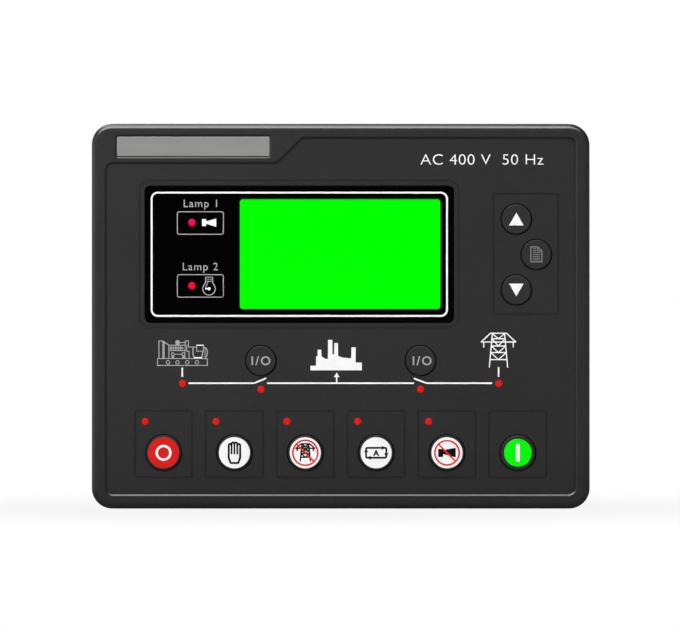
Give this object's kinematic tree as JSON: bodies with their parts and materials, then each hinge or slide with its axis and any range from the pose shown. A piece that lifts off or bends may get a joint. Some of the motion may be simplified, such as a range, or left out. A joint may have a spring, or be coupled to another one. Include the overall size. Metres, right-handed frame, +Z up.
{
  "type": "generator-set controller",
  "caption": "Panel-mounted generator-set controller with a display, sprung keys, lamps, plug-in terminals and clamp clips that hold it in a rectangular cut-out.",
  "frame": {"origin": "centre of the panel plane, on the rear face of the bezel's flange", "axes": "+X to the right seen from the front, +Z up, +Y to the rear, so the front looks along -Y"},
  "size_m": [0.242, 0.0536, 0.187],
  "materials": {
    "bezel": "fine moulded texture",
    "badge": "satin grey plate",
    "gloss_black": "gloss",
    "screen": "lit green screen",
    "backlight": "white",
    "gasket": "foam rubber",
    "key": "matte",
    "disc_red": "satin",
    "disc_white": "satin",
    "disc_green": "satin",
    "lamp": "clear red",
    "mat": "silicone",
    "board": "solder mask",
    "black_plastic": "moulded",
    "brass": "plain",
    "steel": "zinc plated",
    "housing": "moulded texture",
    "terminal_green": "satin green",
    "clip": "moulded"
  },
  "bodies": {
    "root": {"front_bezel": "bezel", "badge_plate": "badge", "display_surround": "gloss_black", "lcd_screen": "screen", "lcd_backlight": "backlight", "panel_gasket": "gasket", "key_mat": "mat", "front_board": "board", "main_board": "board", "board_link": "black_plastic", "relays": "black_plastic", "board_spacers": "brass", "board_screws": "steel", "rear_housing": "housing", "housing_screws": "steel", "upper_headers": "terminal_green", "lower_headers": "terminal_green", "terminal_screws": "steel", "terminal_pins": "brass", "usb_socket": "steel", "stop_lamp": "lamp", "manual_lamp": "lamp", "test_lamp": "lamp", "auto_lamp": "lamp", "mute_lamp": "lamp", "gen_lamp": "lamp", "mains_lamp": "lamp", "gen_breaker_lamp": "lamp", "mains_breaker_lamp": "lamp", "alarm_lamp": "lamp", "running_lamp": "lamp", "upper_left_plug": "terminal_green", "upper_left_clip": "clip", "upper_right_plug": "terminal_green", "upper_right_clip": "clip", "lower_left_plug": "terminal_green", "lower_left_clip": "clip", "lower_right_plug": "terminal_green", "lower_right_clip": "clip"},
    "stop_button": {"stop_key": "key", "stop_disc": "disc_red"},
    "manual_button": {"manual_key": "key", "manual_disc": "disc_white"},
    "test_button": {"test_key": "key", "test_disc": "disc_white"},
    "auto_button": {"auto_key": "key", "auto_disc": "disc_white"},
    "mute_button": {"mute_key": "key", "mute_disc": "disc_white"},
    "start_button": {"start_key": "key", "start_disc": "disc_green"},
    "gen_breaker_button": {"gen_breaker_key": "key"},
    "mains_breaker_button": {"mains_breaker_key": "key"},
    "up_button": {"up_key": "key"},
    "page_button": {"page_key": "key"},
    "down_button": {"down_key": "key"},
    "upper_left_clamp": {"upper_left_clamp_screw": "steel"},
    "upper_right_clamp": {"upper_right_clamp_screw": "steel"},
    "lower_left_clamp": {"lower_left_clamp_screw": "steel"},
    "lower_right_clamp": {"lower_right_clamp_screw": "steel"}
  },
  "joints": [
    {"name": "stop_press", "type": "slide", "parent": "root", "child": "stop_button", "axis": [0, 1, 0], "range_m": [0, 0.001], "stiffness_N_per_m": 900, "springref_m": -0.0006, "deforming": ["key_mat"]},
    {"name": "manual_press", "type": "slide", "parent": "root", "child": "manual_button", "axis": [0, 1, 0], "range_m": [0, 0.001], "stiffness_N_per_m": 900, "springref_m": -0.0006, "deforming": ["key_mat"]},
    {"name": "test_press", "type": "slide", "parent": "root", "child": "test_button", "axis": [0, 1, 0], "range_m": [0, 0.001], "stiffness_N_per_m": 900, "springref_m": -0.0006, "deforming": ["key_mat"]},
    {"name": "auto_press", "type": "slide", "parent": "root", "child": "auto_button", "axis": [0, 1, 0], "range_m": [0, 0.001], "stiffness_N_per_m": 900, "springref_m": -0.0006, "deforming": ["key_mat"]},
    {"name": "mute_press", "type": "slide", "parent": "root", "child": "mute_button", "axis": [0, 1, 0], "range_m": [0, 0.001], "stiffness_N_per_m": 900, "springref_m": -0.0006, "deforming": ["key_mat"]},
    {"name": "start_press", "type": "slide", "parent": "root", "child": "start_button", "axis": [0, 1, 0], "range_m": [0, 0.001], "stiffness_N_per_m": 900, "springref_m": -0.0006, "deforming": ["key_mat"]},
    {"name": "gen_breaker_press", "type": "slide", "parent": "root", "child": "gen_breaker_button", "axis": [0, 1, 0], "range_m": [0, 0.001], "stiffness_N_per_m": 900, "springref_m": -0.0006, "deforming": ["key_mat"]},
    {"name": "mains_breaker_press", "type": "slide", "parent": "root", "child": "mains_breaker_button", "axis": [0, 1, 0], "range_m": [0, 0.001], "stiffness_N_per_m": 900, "springref_m": -0.0006, "deforming": ["key_mat"]},
    {"name": "up_press", "type": "slide", "parent": "root", "child": "up_button", "axis": [0, 1, 0], "range_m": [0, 0.001], "stiffness_N_per_m": 900, "springref_m": -0.0006, "deforming": ["key_mat"]},
    {"name": "page_press", "type": "slide", "parent": "root", "child": "page_button", "axis": [0, 1, 0], "range_m": [0, 0.001], "stiffness_N_per_m": 900, "springref_m": -0.0006, "deforming": ["key_mat"]},
    {"name": "down_press", "type": "slide", "parent": "root", "child": "down_button", "axis": [0, 1, 0], "range_m": [0, 0.001], "stiffness_N_per_m": 900, "springref_m": -0.0006, "deforming": ["key_mat"]},
    {"name": "upper_left_clamp_feed", "type": "slide", "parent": "root", "child": "upper_left_clamp", "axis": [0, 1, 0], "range_m": [-0.005, 0.008]},
    {"name": "upper_right_clamp_feed", "type": "slide", "parent": "root", "child": "upper_right_clamp", "axis": [0, 1, 0], "range_m": [-0.005, 0.008]},
    {"name": "lower_left_clamp_feed", "type": "slide", "parent": "root", "child": "lower_left_clamp", "axis": [0, 1, 0], "range_m": [-0.005, 0.008]},
    {"name": "lower_right_clamp_feed", "type": "slide", "parent": "root", "child": "lower_right_clamp", "axis": [0, 1, 0], "range_m": [-0.005, 0.008]}
  ]
}
